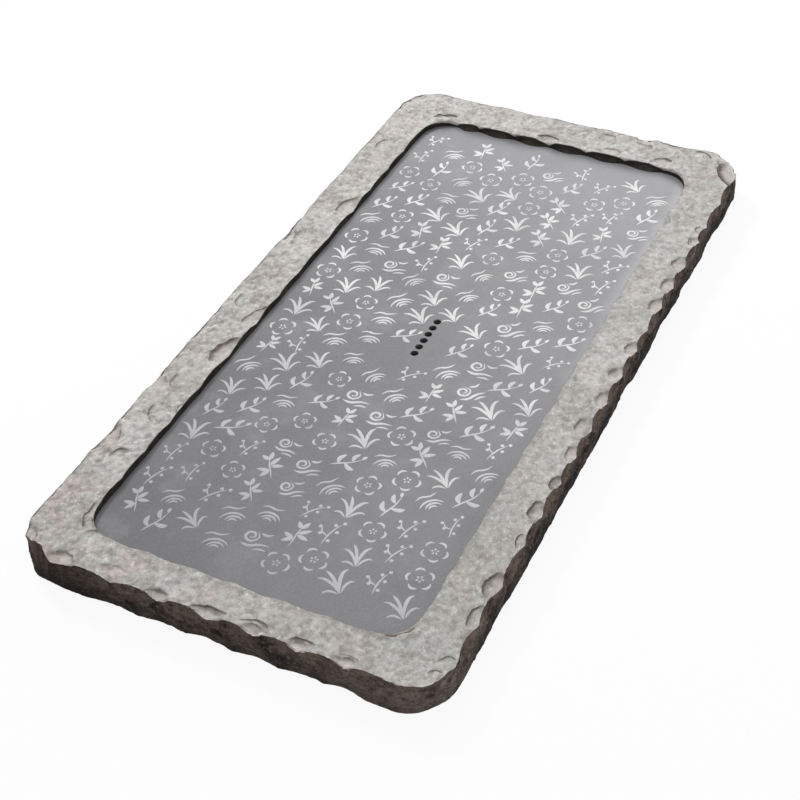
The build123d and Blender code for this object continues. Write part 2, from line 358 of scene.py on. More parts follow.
# %% [markdown]
# ## Stone finishes
#
# One block of stone shows five finishes, because each tool leaves its own. A bush hammer bruises the top
# border light and pitted. A chisel splits dark shells off the sides and cuts the basin's wall. An
# abrasive hones the basin's floor to an even blue grey, and a saw leaves the underside plain. All five
# read the object's own coordinates, so the grain runs through the block. Colours are written as a paint
# chart gives them and turned linear by `paint`. `layered` lays paints over a base colour, each where a
# noise or a fact that the mesh keeps says so.

# %% Stone materials
def paint(red, green, blue):
    """A colour from 0 to 255 a channel, as light."""
    shares = [channel / 255 for channel in (red, green, blue)]
    return tuple(s / 12.92 if s <= 0.04045 else ((s + 0.055) / 1.055) ** 2.4 for s in shares)


def noise(net, place, size, detail=3.0, roughness=0.55, **more):
    """Noise from 0 to 1, in patches of about this size in metres."""
    return net.node("ShaderNodeTexNoise", {}, Vector=place, Scale=0.5 / size, Detail=detail,
                    Roughness=roughness, **more)


def object_place(net):
    return net.node("ShaderNodeTexCoord", {}).out("Object")


def axes(net, place):
    """The three coordinates of a place."""
    spot = net.node("ShaderNodeSeparateXYZ", {}, place)
    return [spot.out(axis) for axis in "XYZ"]


def told(net, name):
    """A value that the mesh itself keeps for each of its points."""
    return net.node("ShaderNodeAttribute", {"attribute_name": name}).out("Fac")


def layered(net, base, *layers):
    """A base colour with paints laid over it, one after another: where each lies, and its colour."""
    colour = paint(*base)
    for share, tone in layers:
        colour = net.node("ShaderNodeMix", {"data_type": "RGBA"}, share, colour, paint(*tone))
    return colour


def surface(net, colour, roughness, height, strength, depth, **more):
    """The shader of a finish, with small relief bumped from a height."""
    bump = net.node("ShaderNodeBump", {}, Strength=strength, Distance=depth, Height=height)
    return net.node("ShaderNodeBsdfPrincipled", {}, Base_Color=colour, Roughness=roughness, Normal=bump,
                    **more)


def dressed_border(net):
    """The top border: pale and bruised, with painted shade in its hollows, on the steep sides of its bowls
    and nicks and along its near and front lip, and paler on its crests.
    """
    place = object_place(net)
    x, y = axes(net, place)[:2]
    broad = noise(net, place, 26 * mm, 4.0)
    rosy = noise(net, place, 13 * mm, 3.0, 0.6)
    smudge = noise(net, place, 10 * mm, 5.0, 0.65, Distortion=0.4)
    blotch = noise(net, place, 6 * mm, 3.0, 0.6)
    mottle = noise(net, place, 3.6 * mm, 3.0, 0.6)
    grains = noise(net, place, 2.3 * mm, 3.0, 0.7)
    facts = ("bowl_depth", "hollow", "facing", "nick", "nick_dark", "rim")
    depth, hollow, facing, nick, nick_dark, rim = [told(net, fact) for fact in facts]
    back = y.rise(60 * mm, 170 * mm)
    warm = x.rise(-200 * mm, -380 * mm) * y.rise(-140 * mm, 120 * mm)
    # Painted shade: the steep side of each bowl that faces across the border is darkened, away from the key
    # lamp.
    bowl_line = depth.rise(0.12, 0.40) * depth.rise(2.3, 0.6) * facing.rise(0.45, 1.0)
    bowl_line = bowl_line * (0.4 + blotch.rise(0.36, 0.58) * 0.55)
    # nick_line is painted shade on the steep wall of each nick. filled darkens the inside of each nick,
    # partly as painted shade and partly as the darker colour of a fresh break.
    nick_line = nick.rise(-0.05, 0.10) * nick.rise(1.05, 0.30) * nick_dark * 1.3
    filled = (nick.rise(0.0, 0.3) * nick_dark * 0.45).math("MINIMUM", 1.0)
    shade_line = bowl_line.math("MAXIMUM", nick_line).math("MINIMUM", 1.0)
    colour = layered(
        net, (169, 167, 163), (broad.rise(0.36, 0.64), (185, 183, 180)),
        (rosy.rise(0.48, 0.62) * (0.40 + warm * 0.5), (180, 171, 166)),
        (rosy.rise(0.46, 0.34) * 0.4, (182, 184, 184)),
        (smudge.rise(0.52, 0.66) * (0.42 + back * 0.35), (147, 137, 130)),
        (blotch.rise(0.46, 0.34) * 0.4, (140, 136, 131)),
        (mottle.rise(0.50, 0.36) * 0.5, (138, 136, 131)),
        # Painted shade: a dark line along the border's inner lip on the near and front sides.
        (rim * blotch.rise(0.36, 0.54) * 0.8, (124, 120, 114)),
        (rim.rise(0.55, 0.9) * smudge.rise(0.44, 0.54) * 0.7, (92, 87, 81)),
        # Painted shade: the hollows of the pits and lumps are darkened.
        (hollow.rise(0.45, 0.95) * 0.45, (128, 122, 116)),
        (grains.rise(0.49, 0.32) * 0.45, (122, 119, 115)),
        (grains.rise(0.53, 0.70) * 0.6, (216, 215, 211)),
        (depth.rise(0.6, 2.2) * blotch.rise(0.3, 0.6) * 0.4, (192, 180, 173)),
        (filled, (142, 132, 124)),
        (shade_line * (0.60 + grains.rise(0.3, 0.6) * 0.3), (76, 68, 63)))
    return surface(net, colour, 0.92, grains + mottle + blotch, 0.7, 0.5 * mm, Specular_IOR_Level=0.2)


def flaked_side(net):
    """The chiselled sides: nearly black brown stone, with painted highlight on the shells of its upper half,
    painted light at the near front corner, and painted shade towards the foot and over the back of the near
    end.
    """
    place = object_place(net)
    x, y, z = axes(net, place)
    broad = noise(net, place, 14 * mm, 4.0, 0.6)
    grains = noise(net, place, 2.4 * mm, 4.0, 0.75)
    flat = net.node("ShaderNodeMapping", {}, place, Scale=(1.0, 1.0, 2.2))
    cracks = (noise(net, flat, 8 * mm, 3.0, 0.6, Distortion=0.6) - 0.5).math("ABSOLUTE")
    shell = told(net, "flake_depth")
    corner = x.rise(-290 * mm, -380 * mm) * y.rise(70 * mm, -190 * mm)
    low = z.rise(slab_high.z - 10 * mm, slab_low.z + 2 * mm) * (1 - corner * 0.6)
    near_end_shade = x.rise(-380 * mm, -394 * mm) * y.rise(60 * mm, 150 * mm)
    colour = layered(
        net, (33, 27, 25), (broad.rise(0.42, 0.58), (80, 70, 64)),
        # Painted light: the side grows lighter towards the near front corner, as if lit from the front.
        (corner * broad.rise(0.34, 0.54) * 0.85, (124, 112, 105)),
        # Painted highlight: the shells of the flakes are lightened, as if lit from above.
        (shell.rise(0.15, 1.0) * broad.rise(0.30, 0.52) * 0.8, (118, 103, 95)),
        (grains.rise(0.52, 0.66) * 0.6, (142, 129, 119)),
        (grains.rise(0.47, 0.34) * 0.55, (24, 19, 17)),
        (cracks.rise(0.030, 0.0) * 0.4, (18, 14, 12)),
        # Painted shade: the side darkens towards its foot, less so at the near front corner.
        (low * (0.35 + broad.rise(0.62, 0.40) * 0.4), (21, 17, 15)),
        # Painted shade over the back part of the near end.
        (near_end_shade * 0.55, (24, 20, 18)))
    height = grains + broad + cracks.rise(0.0, 0.05) * 0.7
    return surface(net, colour, 0.85, height, 1.0, 1.0 * mm, Specular_IOR_Level=0.15)


def honed_floor(net):
    """The basin's floor: an even blue grey, very fine in the grain, with a dull sheen, with painted sheen
    that lightens it towards the front and the far end, and a painted reflection along the front wall.
    """
    place = object_place(net)
    x, y = axes(net, place)[:2]
    broad = noise(net, place, 60 * mm, 3.0)
    clouds = noise(net, place, 22 * mm, 4.0, 0.6)
    grains = noise(net, place, 0.9 * mm, 3.0, 0.6)
    # On the floor this mask is a painted reflection of the front wall: a lighter strip along it.
    rubber_dust_or_floor_reflection = y.rise(-138 * mm, -154 * mm) * x.rise(-120 * mm, 160 * mm)
    colour = layered(
        net, (101, 101, 104), (broad.rise(0.3, 0.7), (110, 110, 113)),
        # Painted sheen: the floor is lighter towards the front and towards the far end.
        (y.rise(130 * mm, -150 * mm) * 0.5, (128, 128, 131)),
        (x.rise(60 * mm, 330 * mm) * 0.55, (124, 124, 127)),
        (clouds.rise(0.5, 0.7) * 0.55, (129, 129, 133)),
        (clouds.rise(0.46, 0.3) * 0.3, (92, 92, 95)),
        # Painted reflection: a lighter strip along the front wall of the basin.
        (rubber_dust_or_floor_reflection * clouds.rise(0.25, 0.55) * 0.85, (156, 156, 161)),
        (grains.rise(0.5, 0.75) * 0.35, (140, 141, 145)),
        (grains.rise(0.5, 0.25) * 0.35, (94, 95, 99)))
    return surface(net, colour, 0.50 + broad * 0.12, grains, 0.15, 0.1 * mm)


def chiselled_wall(net):
    """The basin's wall: chiselled down from the border and darker than it, partly in its own stone and
    partly by painted shade.
    """
    place = object_place(net)
    broad = noise(net, place, 8 * mm, 4.0)
    grains = noise(net, place, 1.6 * mm, 4.0, 0.7)
    # Painted shade: the wall's dark colour is partly the stone's own and partly the shade that the wall lies
    # in.
    colour = layered(net, (45, 43, 40), (broad.rise(0.35, 0.65), (64, 61, 56)),
                     (grains.rise(0.5, 0.3) * 0.6, (28, 25, 24)))
    return surface(net, colour, 0.9, grains, 0.6, 0.4 * mm, Specular_IOR_Level=0.1)


def sawn_stone(net):
    """The underside and the drain's hollows: sawn and drilled, with faint arcs from the blade."""
    place = object_place(net)
    broad = noise(net, place, 40 * mm, 4.0)
    grains = noise(net, place, 1.4 * mm, 3.0, 0.6)
    rings = net.node("ShaderNodeTexWave", {"wave_type": "RINGS", "rings_direction": "SPHERICAL"},
                     Vector=net.node("ShaderNodeMapping", {}, place, (1.9, 0.7, 0.0)),
                     Scale=60.0, Distortion=1.5, Detail=2.0, Detail_Scale=3.0)
    colour = layered(net, (96, 93, 91), (broad.rise(0.35, 0.65), (114, 111, 108)),
                     (grains.rise(0.5, 0.3) * 0.5, (72, 69, 67)), (rings * 0.18, (134, 131, 128)))
    return surface(net, colour, 0.82, rings + grains, 0.3, 0.2 * mm, Specular_IOR_Level=0.3)


stone_finishes = {
    "dressed_border": dressed_border,
    "flaked_side": flaked_side,
    "chiselled_wall": chiselled_wall,
    "honed_floor": honed_floor,
    "sawn_stone": sawn_stone,
}
stone = {name: material(name, build) for name, build in stone_finishes.items()}
print("stone finishes:", ", ".join(stone))

# %% [markdown]
# ## The slab's skin
#
# The solid slab has every flake, bowl and chip, but its large flat triangles can't be roughened. So a new
# skin is drawn over it: a net of 1,500 stations round the tray, each with rows of points from the foot of
# the basin's wall, over the border, down the side to the underside. Rays cast at the solid say where each
# point lies, which keeps the true shape and size. The alternative, remeshing into small cubes, would
# blunt the crisp edge between the pale top and the dark side.

# %% Stations round the tray
def ring(length, width, radius, centre_x):
    """Points and outward directions round a rounded rectangle, from the near end of the front side.

    Every ring has the same number of points on each side and corner, so that two rings pair up.
    """
    half_x = length / 2 - radius
    half_y = width / 2 - radius
    points = []
    outwards = []
    sides = (
        ((-half_x, -half_y), (half_x, -half_y), (0, -1), long_stations),
        ((half_x, -half_y), (half_x, half_y), (1, 0), short_stations),
        ((half_x, half_y), (-half_x, half_y), (0, 1), long_stations),
        ((-half_x, half_y), (-half_x, -half_y), (-1, 0), short_stations),
    )
    for start, end, outward, count in sides:
        start, end, outward = Vector(start), Vector(end), Vector(outward)
        for i in range(count):
            points.append(start.lerp(end, i / count) + outward * radius)
            outwards.append(outward.copy())
        heading = math.atan2(outward.y, outward.x)
        for i in range(corner_stations):
            angle = heading + i / corner_stations * math.pi / 2
            turned = Vector((math.cos(angle), math.sin(angle)))
            points.append(end + turned * radius)
            outwards.append(turned)
    return [point + Vector((centre_x, 0)) for point in points], outwards


long_stations, short_stations, corner_stations = 464, 206, 40
slab_length = slab_high.x - slab_low.x
slab_width = slab_high.y - slab_low.y
slab_top = slab_high.z
underside = slab_low.z
basin_depth, basin_length, basin_width, basin_middle = 7.6 * mm, 708 * mm, 308 * mm, -3 * mm
deck_level = slab_top - basin_depth
outer_ring, outer_outwards = ring(slab_length, slab_width, 40 * mm, 0)
inner_ring, inner_outwards = ring(basin_length, basin_width, 30 * mm, basin_middle)
station_count = len(outer_ring)
print(station_count, "stations,", round((outer_ring[1] - outer_ring[0]).length / mm, 2), "mm apart")

# %% [markdown]
# Each station needs four facts from the solid: how far the wall of the basin stands out, how deep the
# side is flaked at any level, how high the top is at any place, and where top and side meet. The last is
# found by walking outwards over the border in small steps until the ground falls away, as a finger finds
# an edge.

# %% Rays cast at the solid
def solid_rays(node):
    """A search tree of a node's triangles."""
    mesh = node.data
    points = [vertex.co.copy() for vertex in mesh.vertices]
    return BVHTree.FromPolygons(points, [tuple(face.vertices) for face in mesh.polygons])


def top_height(place):
    """The level of the solid's top at a place in plan, or none where the ray misses."""
    hit = slab_rays.ray_cast(Vector((place.x, place.y, slab_top + stand_off)), Vector((0, 0, -1)))
    return hit[0].z if hit[0] else None


def side_depth(point, outward, level):
    """How far in from the outer ring the side lies at a level; none inside the hose channel."""
    start = Vector((*(point + outward * stand_off), level))
    hit = slab_rays.ray_cast(start, Vector((*-outward, 0)))
    if hit[0] is None or hit[3] > 3 * stand_off:
        return None
    return hit[3] - stand_off


def wall_point(point, outward):
    """Where the basin's wall stands just over its floor, looking outwards from inside the inner ring."""
    start = point - outward * 2 * stand_off
    hit = slab_rays.ray_cast(Vector((*start, deck_level + 1 * mm)), Vector((*outward, 0)))
    return start + outward * hit[3]


def arris(point, outward):
    """The depth and level at which the side meets the top, found by walking outwards over the border."""
    depth = walk_start
    level = top_height(point - outward * depth)
    while depth > walk_step:
        height = top_height(point - outward * (depth - walk_step))
        if height is None or height < level - steep_fall:
            break
        depth -= walk_step
        level = height
    found = side_depth(point, outward, level - 0.05 * mm)
    if found is not None and 0 <= found < depth:
        depth = found
    return depth, level


stand_off = 5 * mm
walk_start, walk_step, steep_fall = 13 * mm, 0.2 * mm, 0.32 * mm
slab_rays = solid_rays(frame["nodes"]["stone_slab"])
walls = [wall_point(point, outward) for point, outward in zip(inner_ring, inner_outwards)]
edges = [arris(point, outward) for point, outward in zip(outer_ring, outer_outwards)]
print("arris lies", round(max(depth for depth, _ in edges) / mm, 2), "mm in at most, and",
      round((slab_top - min(level for _, level in edges)) / mm, 2), "mm down at most")

# %% [markdown]
# A pick has left bowls, nicks and lost flakes on the border. The solid carries the bowls as round cuts,
# so their outlines are broken up here by looking a little to one side. The nicks are short strokes of a
# tool, steep on one side and darkened there by painted shade, and are too small for the solid, so each is
# written down by place, size and direction. The bites are flakes lost from the outer edge. A row of points
# then runs over the border at each station, over a worn lip, and down the side, and another climbs the
# basin's wall, whose foot swells out between the ridges.

# %% Rows of points at each station
def wandered(place):
    """A place shifted a little by noise, so that a round bowl in the solid gets a broken outline."""
    spot = Vector((place.x, place.y, 0)) / (9 * mm)
    shift = noise_vector(spot) * 1.7 + noise_vector(spot * 3.1) * 0.9
    return place + Vector((shift.x, shift.y)) * mm


def fall_at(place):
    """How far the solid's top lies under its plain level."""
    height = top_height(place)
    return 0.0 if height is None else max(slab_top - height, 0.0)


def broken_fall(place, outward, fall):
    """The fall with a steep rim on the side that faces across the border, and how steep it is made."""
    if fall < 0.03 * mm:
        return fall, 0.0
    step = 1.5 * mm
    across = fall_at(place + outward * step) - fall_at(place - outward * step)
    aside = Vector((-outward.y, outward.x)) * step
    along = fall_at(place + aside) - fall_at(place - aside)
    facing = max(0.0, across) / math.sqrt(across * across + along * along + (0.05 * mm) ** 2)
    steep = bowl_fall * (1 - (1 - fall / bowl_fall) ** 4) if fall < bowl_fall else fall
    return fall + (steep - fall) * facing, facing


def nick_fall(place):
    """How deep the nicks go at a place, how far inside one it is, and how dark its steep wall is, mostly as
    painted shade.
    """
    deepest = 0.0
    inside = no_nick
    shade = 0.0
    for x, y, half_long, half_wide, angle, depth, dark in nicks:
        way = Vector((math.cos(math.radians(angle)), math.sin(math.radians(angle))))
        away = (place / mm - Vector((x, y)))
        along = away.dot(way) / half_long
        across = (away.y * way.x - away.x * way.y) / half_wide
        across += 0.35 * along * along
        reach = along * along + across * across
        lean = max(0.0, (0.6 + across) / 1.6)
        if reach < 1:
            deepest = max(deepest, depth * math.sqrt(1 - reach) * (0.3 + 0.7 * lean) * mm)
        if 1 - reach > inside:
            inside = 1 - reach
            shade = dark * min(1.0, lean)
    return deepest, inside, shade


def bite_at(point):
    """How much further in the arris lies than on the solid: large where a flake is gone, else ragged."""
    deepest = 0.0
    for x, y, reach, depth in bites:
        away = (point / mm - Vector((x, y))).length / reach
        deepest = max(deepest, depth * (1 - away * away))
    spot = Vector((point.x, point.y, 0))
    ragged = noise_value(spot / (5 * mm)) + 0.6 * noise_value(spot / (2.2 * mm))
    raggedness = ragged_behind if point.y > slab_high.y - 5 * mm else ragged_elsewhere
    return (deepest * (1 + 0.3 * noise_value(spot / (7 * mm))) + raggedness * max(0.0, ragged)) * mm


def far_share(outward):
    """1 at the far end of the tray, 0 along its sides and at the near end."""
    return max(0.0, outward.x) ** 3


def border_points(wall, solid_wall, recess, point, outward, depth, solid_depth, level, bite):
    """Points over the border, from the top of the basin's wall to the arris, and how broken each is.

    Where the skin is a little wider than the solid's top, the ray is cast just inside the solid's edge.
    """
    edge = point - outward * depth
    lip = lip_size * (1.0 + 0.45 * noise_value(Vector((wall.x, wall.y, 0)) / (14 * mm)))
    lip *= 1 - 0.6 * max(0.0, outward.x, outward.y)
    lip += far_lip * far_share(outward) * max(0.0, 1 - recess / ridge_height) ** 2
    line = []
    for share in border_shares:
        place = wall.lerp(edge, share)
        calm = min(1.0, 6 * (1 - share), 14 * share)
        looked = place.lerp(wandered(place), calm)
        clear = (looked - solid_wall).dot(outward)
        if clear < wall_clearance:
            looked = looked + outward * (wall_clearance - clear)
        spare = (point - looked).dot(outward) - solid_depth
        if spare < edge_clearance:
            looked = looked - outward * (edge_clearance - spare)
        fall, facing = broken_fall(looked, outward, fall_at(looked))
        nick, inside, shade = nick_fall(looked)
        fall = max(fall, nick)
        inset = 1 - (place - wall).length / (0.8 * lip)
        worn = lip * (1 - math.sqrt(1 - inset * inset)) if inset > 0 else 0.0
        line.append((place.x, place.y, slab_top - fall - worn, fall / mm, facing, inside, shade))
    if bite < least_bite:
        line[-1] = (edge.x, edge.y, min(level, line[-1][2]), line[-1][3], 0.0, no_nick, 0.0)
    return line


def side_points(point, outward, depth, level, bite):
    """Points down the side, from under the arris to the underside, and how deep each is flaked."""
    line = []
    last = depth
    for share in side_shares:
        height = level + (underside - level) * share
        found = side_depth(point, outward, max(height, underside + 0.1 * mm))
        if found is not None and outward.y > back_from:
            found *= back_share + (1 - back_share) * min(1.0, 2 * share)
        facet = bite * max(0.0, 1 - share / (0.2 + 0.6 * min(1.0, bite / (5 * mm))))
        last = last if found is None else max(found, 0.0) + facet
        place = point - outward * last
        line.append((place.x, place.y, height, last / mm, 0.0, no_nick, 0.0))
    return line


# Each nick: middle in mm, half its length and width, the way it runs in degrees, depth, and how dark it is:
# mostly painted shade on its steep side, in places the darker colour of a fresh break.
nicks = (
    (-393, 54, 13, 4.0, -75, 1.0, 0.6), (-391, 6, 17, 4.5, -83, 1.3, 1.0),
    (-388, -36, 13, 3.5, -87, 1.2, 1.0), (-389, -79, 12, 3.5, -83, 1.2, 1.0),
    (-388, -120, 9, 2.6, -92, 0.8, 0.5),
    (-341, 156, 15, 3.0, 11, 1.5, 1.5), (-337, 150, 12, 2.8, 16, 1.5, 1.5),
    (-358, 141, 8, 4.0, -72, 1.0, 0.6), (-349, -146, 13, 2.7, 130, 1.0, 1.9),
    (-359, -191, 7, 2.6, -66, 0.9, 0.9), (-374, -187, 6, 2.4, -66, 0.8, 0.8),
    (-310, -192, 13, 4.5, -6, 1.4, 1.0), (-275, -191, 15, 6.0, -5, 1.6, 1.1),
    (-222, -193, 9, 4.0, 4, 1.3, 1.0), (-183, -191, 11, 6.0, -8, 1.5, 1.0),
    (-146, -195, 10, 5.5, -1, 1.5, 1.0), (-193, -148, 8, 2.5, 182, 1.0, 0.6),
    (233, -191, 8, 3.0, 14, 1.2, 0.9), (256, -192, 7, 3.0, 0, 1.2, 0.9),
    (258, -158, 9, 3.0, 183, 1.1, 0.6), (226, -150, 10, 3.5, 161, 0.9, 0.2),
    (362, -190, 28, 9.0, 33, 2.4, 1.4), (392, -155, 12, 4.0, -108, 1.2, 1.2),
    (387, -88, 12, 5.0, -105, 1.4, 0.8), (388, -46, 10, 4.0, -87, 1.2, 0.7),
    (362, -60, 12, 5.0, -97, 1.3, 0.6), (366, -117, 10, 3.8, -80, 1.5, 1.8),
    (361, 16, 14, 4.4, -86, 1.7, 2.0), (358, 142, 15, 4.8, -69, 1.9, 2.2),
    (279, 184, 11, 4.5, -18, 1.4, 0.8), (158, 167, 17, 5.0, -19, 1.6, 1.1),
    (83, 187, 14, 3.5, 6, 1.0, 0.6), (-32, 187, 11, 4.0, 11, 1.2, 0.7),
    (-46, 163, 18, 3.6, -22, 1.5, 1.1), (-103, 164, 22, 8.0, -13, 2.4, 1.4),
    (-163, 182, 11, 3.2, 15, 1.1, 0.7), (-208, 177, 13, 3.4, 23, 1.2, 0.8),
    (-193, 157, 7, 2.8, 2, 1.0, 0.8), (-266, 175, 10, 5.0, -43, 1.3, 0.8),
    (-90, 185, 13, 5.0, 15, 1.0, 0.3), (-385, 100, 12, 5.0, -90, 1.0, 0.3),
)
# Each bite: middle in mm on the outline, its reach and its depth.
bites = ((-396, 177, 21, 7.5), (-398, -160, 14, 2.5), (384, -190, 16, 2.5), (120, 200, 12, 1.5))
no_nick = -0.6
foot_swell, far_recess = 6.0 * mm, 0.5
bowl_fall, lip_size, far_lip, ridge_height = 2.8 * mm, 2.3 * mm, 2.6 * mm, 3.2 * mm
wall_clearance, edge_clearance = 1.2 * mm, 0.2 * mm
least_bite, ragged_elsewhere, ragged_behind = 0.3 * mm, 0.9, 0.35
# The back's arris is straighter than the solid's flakes, so it takes only this share of their depth.
back_share, back_from = 0.6, 0.9
inner_share = [0.0, 0.005, 0.013, 0.026, 0.042] + [0.062 + 0.50 * i / 12 for i in range(13)]
outer_share = [0.60 + 0.37 * i / 15 for i in range(16)] + [0.988, 1.0]
border_shares = inner_share + outer_share
side_shares = [0.02] + [0.06 + 0.94 * (i / 16) ** 1.15 for i in range(17)]
wall_levels = [0.0, 0.04, 0.35, 0.68, 0.95]


def wall_points(wall, recess, outward, top):
    """Points up the basin's wall, whose foot swells between the ridges, most at the far end."""
    far = far_share(outward)
    swell = foot_swell * (0.2 + 0.8 * far) * min(1.0, recess / ((1.7 + 1.8 * far) * mm)) ** 1.5
    places = [wall - outward * swell * (1 - share) ** 2 for share in wall_levels]
    levels = [deck_level + (top - deck_level) * share for share in wall_levels]
    return [(place.x, place.y, level, 0, 0, no_nick, 0) for place, level in zip(places, levels)]


# Without a seed, noise_vector takes its offsets from the clock, and the bowls differ from run to run.
noise_seed = 5
seed_set(noise_seed)
gathered = []
for i in range(station_count):
    point, outward, (depth, level) = outer_ring[i], outer_outwards[i], edges[i]
    solid_depth = depth
    if outward.y > back_from:
        depth *= back_share
    bite = bite_at(point)
    recess = max(0.0, (walls[i] - inner_ring[i]).dot(inner_outwards[i]))
    wall = walls[i] - inner_outwards[i] * recess * far_recess * far_share(outward)
    over = border_points(wall, walls[i], recess, point, outward, depth + bite, solid_depth, level, bite)
    foot = wall_points(wall, recess, inner_outwards[i], over[0][2])
    gathered.append(foot + over + side_points(point, outward, depth + bite, over[-1][2], bite))
surveyed = np.array(gathered)
skin_points = surveyed[:, :, :3]
row_count = skin_points.shape[1]
wall_rows = len(wall_levels)
arris_row = wall_rows + len(border_shares) - 1
print(station_count, "stations by", row_count, "rows; the arris is row", arris_row)

# %% [markdown]
# The rows join into one closed skin: strips of quads between the rows, one polygon for the basin's floor
# and one for the underside. Each point also keeps which way is into the stone, and how much of each kind
# of roughness it takes, so that the next tree can dress it.

# %% The closed skin
def skin_mesh(points):
    """A mesh of strips between rows of stations, closed by the floor and the underside."""
    stations, rows = points.shape[:2]
    faces = []
    for i in range(stations):
        j = (i + 1) % stations
        for r in range(rows - 1):
            faces.append((i * rows + r, i * rows + r + 1, j * rows + r + 1, j * rows + r))
    faces.append(tuple(i * rows for i in range(stations)))
    faces.append(tuple(i * rows + rows - 1 for i in reversed(range(stations))))
    mesh = plain_mesh("slab_skin", points.reshape(-1, 3).tolist(), faces)
    for finish in stone.values():
        mesh.materials.append(finish)
    return mesh


def keep(mesh, name, values, domain="POINT", kind="FLOAT"):
    """Stores one value for each point or face."""
    layer = mesh.attributes.new(name, kind, domain)
    key = "vector" if kind == "FLOAT_VECTOR" else "value"
    layer.data.foreach_set(key, np.ascontiguousarray(values).ravel())


def into_stone():
    """For each point, the direction into the stone: down on the border, sideways on the walls and sides."""
    push = np.zeros_like(skin_points)
    outward = np.array([tuple(o) for o in outer_outwards])
    push[:, :wall_rows, :2] = outward[:, None, :]
    push[:, wall_rows:arris_row, 2] = -1
    push[:, arris_row, :2] = -0.7 * outward
    push[:, arris_row, 2] = -0.7
    push[:, arris_row + 1:, :2] = -outward[:, None, :]
    return push


def row_weights(stops):
    """A weight for each row, straight between these (row, weight) stops, the same at every station."""
    rows, weights = zip(*stops)
    line = np.interp(np.arange(row_count), rows, weights)
    return np.broadcast_to(line, (station_count, row_count))


skin = skin_mesh(skin_points)
keep(skin, "into_stone", into_stone(), kind="FLOAT_VECTOR")
back_side = np.array([1.0 + 0.4 * outward.y for outward in outer_outwards])[:, None]
pitted_rows = row_weights(((wall_rows, 0.3), (wall_rows + 3, 1), (arris_row - 1, 1), (arris_row, 0.6),
                           (arris_row + 2, 0)))
keep(skin, "pitted", pitted_rows * (np.arange(row_count) >= wall_rows) * back_side)
keep(skin, "split", row_weights(((arris_row - 1, 0), (arris_row, 0.35), (arris_row + 4, 1),
                                 (row_count - 2, 1), (row_count - 1, 0.6))))
keep(skin, "chiselled", row_weights(((0, 0), (2, 1), (wall_rows, 0.5), (wall_rows + 1, 0))))
on_border = row_weights(((wall_rows - 1, 0), (wall_rows, 1), (arris_row, 1), (arris_row + 1, 0)))
on_side = row_weights(((arris_row - 1, 0), (arris_row, 1), (row_count - 1, 1)))
falls = surveyed[:, :, 3]
keep(skin, "bowl_depth", falls * on_border)
keep(skin, "flake_depth", falls * on_side)
# facing places the painted shade of the bowls, and nick and nick_dark place the painted shade of the nicks.
for column, name in ((4, "facing"), (5, "nick"), (6, "nick_dark")):
    keep(skin, name, surveyed[:, :, column])
# rim marks the inner lip of the border on the near and front sides, where painted shade is laid.
camera_side = np.array([max(0.0, -o.x, -o.y) for o in outer_outwards])[:, None]
keep(skin, "rim", row_weights(((wall_rows, 1), (wall_rows + 8, 0))) * on_border * camera_side)
keep(skin, "undercut", row_weights(((arris_row + 5, 0), (row_count - 4, 1), (row_count - 1, 1))))
finish_names = list(stone)
zones = np.empty((station_count, row_count - 1), dtype=np.int32)
zones[:, :wall_rows] = finish_names.index("chiselled_wall")
zones[:, wall_rows:arris_row] = finish_names.index("dressed_border")
zones[:, arris_row:] = finish_names.index("flaked_side")
ends = [finish_names.index("honed_floor"), finish_names.index("sawn_stone")]
keep(skin, "zone", np.append(zones.ravel(), np.array(ends, dtype=np.int32)), "FACE", "INT")
print("skin of", triangles(skin), "triangles,", open_edges(skin), "open edges")

# %% [markdown]
# ## Dressing the stone
#
# The tree moves each point into the stone by noise, never outwards, so the slab keeps its size. The
# border gets the small pits of a bush hammer over a slow swell. The sides get ridged noise, which has the
# sharp crests of split stone. Its last nodes give each zone its finish.

# %% The dressing tree
def attribute(net, name, kind="FLOAT"):
    return net.node("GeometryNodeInputNamedAttribute", {"data_type": kind}, name)


def field_noise(net, place, size, detail, **more):
    return net.node("ShaderNodeTexNoise", {}, Vector=place, Scale=0.5 / size, Detail=detail, **more)


dressing_sizes = {"Pit depth": 0.42 * mm, "Lump depth": 0.5 * mm, "Swell depth": 0.6 * mm,
                  "Shell depth": 1.2 * mm, "Shell width": 17 * mm, "Split depth": 1.9 * mm,
                  "Chisel depth": 0.08 * mm, "Undercut depth": 2.2 * mm}
net, sizes = geometry_tree("stone_dressing", dressing_sizes)
place = net.node("GeometryNodeInputPosition", {})
pits = field_noise(net, place, 2.6 * mm, 3.0).rise(0.62, 0.30) * sizes.out("Pit depth")
lumps = field_noise(net, place, 6 * mm, 2.0).rise(0.66, 0.34) * sizes.out("Lump depth")
swell = field_noise(net, place, 18 * mm, 2.0).rise(0.35, 0.70) * sizes.out("Swell depth")
shells = net.node("ShaderNodeTexVoronoi", {}, Vector=place, Scale=1 / sizes.out("Shell width"))
shells = (1 - shells * 1.3).math("MAXIMUM", 0.0) * sizes.out("Shell depth")
shells = shells * field_noise(net, place, 45 * mm, 1.0).rise(0.42, 0.54)
undercut = field_noise(net, place, 26 * mm, 2.0).rise(0.44, 0.68) * sizes.out("Undercut depth")
split_noise = field_noise(net, place, 8 * mm, 4.0)
ridges = (split_noise - 0.5).math("ABSOLUTE") * 4.0 * sizes.out("Split depth")
chisel = field_noise(net, place, 5 * mm, 3.0).rise(0.3, 0.7) * sizes.out("Chisel depth")
border_part = (pits + lumps + swell + shells) * attribute(net, "pitted")
inwards = border_part + ridges * attribute(net, "split") + chisel * attribute(net, "chiselled")
inwards = inwards + undercut * attribute(net, "undercut")
step = net.node("ShaderNodeVectorMath", {"operation": "SCALE"},
                attribute(net, "into_stone", "FLOAT_VECTOR"), Scale=inwards)
